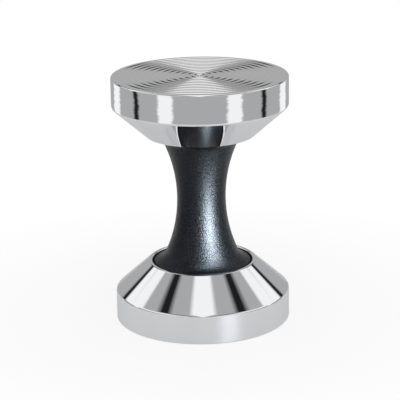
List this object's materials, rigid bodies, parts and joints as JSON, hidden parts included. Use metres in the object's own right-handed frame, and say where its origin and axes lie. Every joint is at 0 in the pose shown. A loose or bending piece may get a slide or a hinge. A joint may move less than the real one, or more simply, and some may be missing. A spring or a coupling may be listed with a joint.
{
  "type": "espresso tamper",
  "caption": "Double-ended espresso tamper: a flat and a rippled chrome head screwed onto a waisted black handle over a clamped threaded rod.",
  "frame": {"origin": "centre of the flat tamping face, where the tamper stands on the counter", "axes": "+Z is the common axis of handle, rod and heads, from the flat face up to the rippled face; +X and +Y are equal by symmetry"},
  "size_m": [0.058, 0.058, 0.0824],
  "materials": {
    "polished_chrome": "mirror-polished chromed steel; the ripples are fine-turned and satin",
    "black_anodised_aluminium": "bead-blasted and black anodised, satin with a fine grain",
    "zinc_plated_steel": "bright zinc plating on cut threads",
    "black_rubber": "matt moulded nitrile rubber"
  },
  "bodies": {
    "flat_head": {"flat_head": "polished_chrome"},
    "lower_gasket": {"lower_foot_gasket": "black_rubber"},
    "handle": {"handle": "black_anodised_aluminium", "tie_rod": "zinc_plated_steel", "lower_washer": "zinc_plated_steel", "upper_washer": "zinc_plated_steel", "lower_spring_washer": "zinc_plated_steel", "upper_spring_washer": "zinc_plated_steel", "lower_jam_nut": "zinc_plated_steel", "upper_jam_nut": "zinc_plated_steel"},
    "upper_gasket": {"upper_foot_gasket": "black_rubber"},
    "ripple_head": {"ripple_head": "polished_chrome"}
  },
  "joints": [
    {"name": "handle_lift", "type": "slide", "parent": "flat_head", "child": "lower_gasket", "axis": [0, 0, 1], "range_m": [0, 0.01]},
    {"name": "handle_unscrew", "type": "hinge", "parent": "lower_gasket", "child": "handle", "pos_m": [0, 0, 0.0168], "axis": [0, 0, 1], "range_deg": [0, 2880]},
    {"name": "ripple_head_unscrew", "type": "hinge", "parent": "handle", "child": "upper_gasket", "pos_m": [0, 0, 0.0656], "axis": [0, 0, 1], "range_deg": [0, 2880]},
    {"name": "ripple_head_lift", "type": "slide", "parent": "upper_gasket", "child": "ripple_head", "axis": [0, 0, 1], "range_m": [0, 0.01]}
  ],
  "couplings": [
    {"joint": "handle_unscrew", "follows": "handle_lift", "rad_per_m": 5026.5},
    {"joint": "ripple_head_unscrew", "follows": "ripple_head_lift", "rad_per_m": 5026.5}
  ]
}
